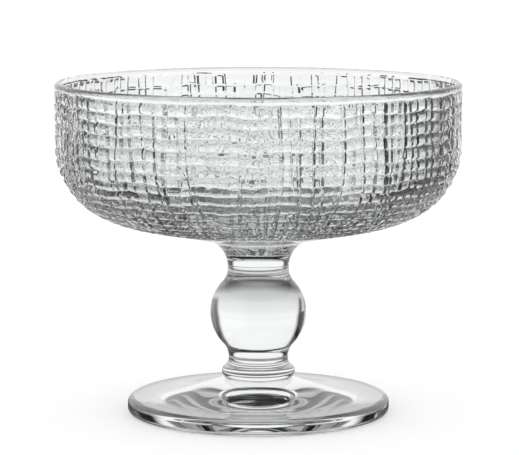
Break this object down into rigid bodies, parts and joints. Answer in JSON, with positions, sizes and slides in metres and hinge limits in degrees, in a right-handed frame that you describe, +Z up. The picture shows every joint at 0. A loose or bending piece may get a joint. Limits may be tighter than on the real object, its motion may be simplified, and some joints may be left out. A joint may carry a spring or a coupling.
{
  "type": "sundae dish",
  "caption": "Footed sundae dish in clear pressed glass: a wide straight-sided bowl with a linen-like relief outside, on a solid ball stem and a round foot.",
  "frame": {"origin": "centre of the plane that the foot rests on", "axes": "+Z up along the dish's turning axis"},
  "size_m": [0.125, 0.125, 0.1026],
  "materials": {
    "foot_glass": "clear, smooth, fire-polished",
    "stem_glass": "clear, smooth, fire-polished",
    "bowl_glass": "clear, smooth inside, pressed linen-like relief outside"
  },
  "bodies": {
    "root": {"foot": "foot_glass", "foot_collar": "stem_glass", "ball_stem": "stem_glass", "bowl_collar": "stem_glass", "bowl": "bowl_glass"}
  },
  "joints": []
}
